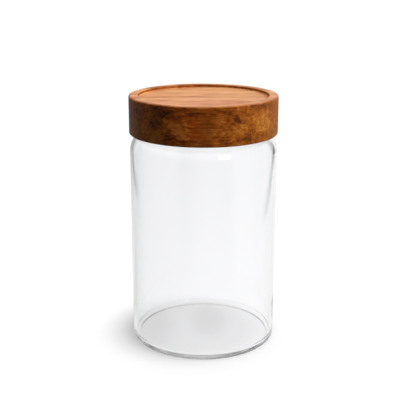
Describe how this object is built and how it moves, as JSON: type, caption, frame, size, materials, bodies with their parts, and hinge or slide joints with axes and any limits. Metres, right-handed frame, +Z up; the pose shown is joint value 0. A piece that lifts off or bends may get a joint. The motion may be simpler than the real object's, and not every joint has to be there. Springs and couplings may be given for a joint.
{
  "type": "lidded glass canister",
  "caption": "Straight round clear glass storage jar with a short shoulder and a turned wooden screw lid, dished on top, sealed by a silicone ring.",
  "frame": {"origin": "centre of the jar's foot, on the surface that the canister stands on", "axes": "+Z up along the jar's axis, through the lid; the canister is round about it, and -Y is the side that the picture shows"},
  "size_m": [0.1, 0.1, 0.171],
  "materials": {
    "clear_glass": "clear polished",
    "acacia_wood": "oiled satin",
    "silicone": "translucent matte"
  },
  "bodies": {
    "jar": {"glass_jar": "clear_glass"},
    "seal": {"silicone_seal": "silicone"},
    "lid": {"wooden_lid": "acacia_wood"}
  },
  "joints": [
    {"name": "lid_rise", "type": "slide", "parent": "jar", "child": "seal", "axis": [0, 0, 1], "range_m": [0, 0.018]},
    {"name": "lid_turn", "type": "hinge", "parent": "seal", "child": "lid", "pos_m": [0, 0, 0.1593], "axis": [0, 0, 1], "range_deg": [0, 1080]}
  ],
  "couplings": [
    {"joint": "lid_rise", "follows": "lid_turn", "m_per_rad": 0.00095493}
  ]
}
